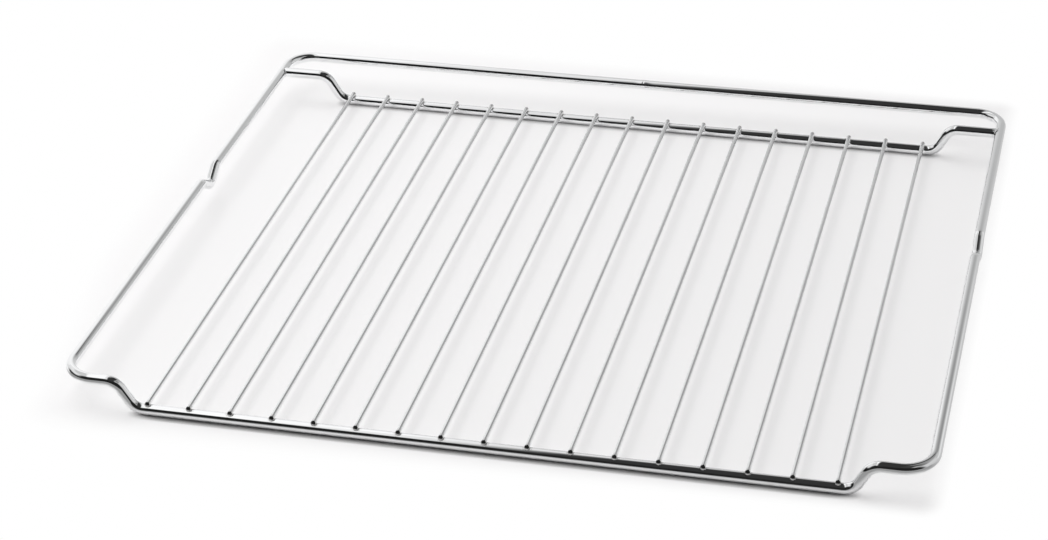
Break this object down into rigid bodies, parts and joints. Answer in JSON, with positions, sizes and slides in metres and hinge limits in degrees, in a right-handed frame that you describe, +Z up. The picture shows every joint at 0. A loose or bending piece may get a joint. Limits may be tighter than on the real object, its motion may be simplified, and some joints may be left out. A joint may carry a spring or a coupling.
{
  "type": "oven shelf rack",
  "caption": "Plated wire oven shelf: a thick bent frame with raised side and rear rails, stop notches and a stepped low front rail, and thin straight wires welded on from front to back.",
  "frame": {"origin": "on the resting plane, in the middle of the outer width and depth", "axes": "+X to the right along the front rail, +Y from the front rail to the rear rail, +Z up"},
  "size_m": [0.466, 0.385, 0.022],
  "materials": {
    "frame_chrome": "bright plated drawn wire",
    "grid_chrome": "bright plated thin drawn wire"
  },
  "bodies": {
    "root": {"frame_loop": "frame_chrome", "rear_bar": "frame_chrome", "grid_wire_01": "grid_chrome", "grid_wire_02": "grid_chrome", "grid_wire_03": "grid_chrome", "grid_wire_04": "grid_chrome", "grid_wire_05": "grid_chrome", "grid_wire_06": "grid_chrome", "grid_wire_07": "grid_chrome", "grid_wire_08": "grid_chrome", "grid_wire_09": "grid_chrome", "grid_wire_10": "grid_chrome", "grid_wire_11": "grid_chrome", "grid_wire_12": "grid_chrome", "grid_wire_13": "grid_chrome", "grid_wire_14": "grid_chrome", "grid_wire_15": "grid_chrome", "grid_wire_16": "grid_chrome", "grid_wire_17": "grid_chrome"}
  },
  "joints": []
}
